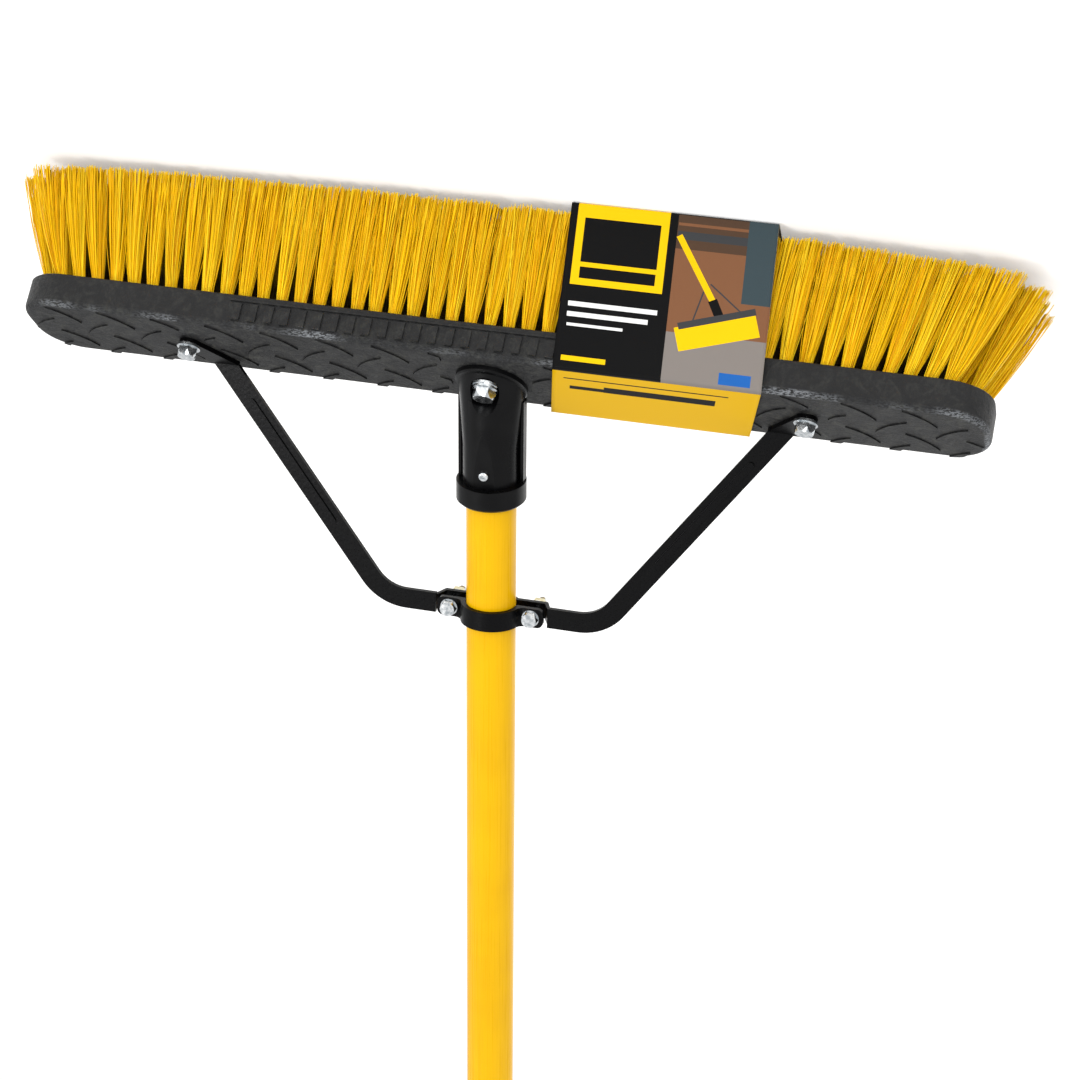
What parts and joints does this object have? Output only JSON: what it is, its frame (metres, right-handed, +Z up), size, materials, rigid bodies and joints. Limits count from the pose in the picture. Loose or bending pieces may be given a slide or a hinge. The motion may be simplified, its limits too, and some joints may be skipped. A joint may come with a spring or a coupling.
{
  "type": "push broom",
  "caption": "Push broom: long bristle head in a moulded block, leaning round handle in a bolted socket, steel brace clamped round the handle, card sleeve round the head.",
  "frame": {"origin": "on the floor under the middle of the head, at the level of the bristle tips in use", "axes": "+Z up, +X along the head, the handle leans back towards +Y, the sweeping front faces -Y"},
  "size_m": [0.6486, 1.1943, 1.2081],
  "materials": {
    "foam_plastic": "moulded structural foam, dull",
    "bristle": "extruded polypropylene filament",
    "wire": "drawn wire",
    "socket_plastic": "moulded, satin",
    "zinc": "bright zinc",
    "insert": "machined",
    "black_steel": "black paint, semi-gloss",
    "yellow_zinc": "pale yellow zinc",
    "fibreglass": "pultruded, glossy",
    "plug_wood": "turned",
    "cap_plastic": "moulded vinyl, satin",
    "printed_card": "printed, semi-gloss varnish"
  },
  "bodies": {
    "broom": {"head_block": "foam_plastic", "bristle_row_front": "bristle", "bristle_row_front_inner": "bristle", "bristle_row_middle": "bristle", "bristle_row_back_inner": "bristle", "bristle_row_back": "bristle", "tuft_anchor_wires": "wire", "handle_socket": "socket_plastic", "socket_washer": "zinc", "socket_bolt": "zinc", "socket_threaded_insert": "insert", "steel_brace": "black_steel", "clamp_band": "black_steel", "brace_bolt_left": "zinc", "brace_bolt_right": "zinc", "brace_threaded_inserts": "insert", "clamp_bolt_left": "zinc", "clamp_bolt_right": "zinc", "clamp_washers": "zinc", "clamp_nuts": "yellow_zinc", "fibreglass_handle": "fibreglass", "handle_core_plug": "plug_wood", "handle_screw": "zinc", "handle_end_cap": "cap_plastic"},
    "sleeve": {"card_sleeve": "printed_card"}
  },
  "joints": [
    {"name": "sleeve_slide", "type": "slide", "parent": "broom", "child": "sleeve", "axis": [1, 0, 0], "range_m": [-0.002, 0.011]}
  ]
}
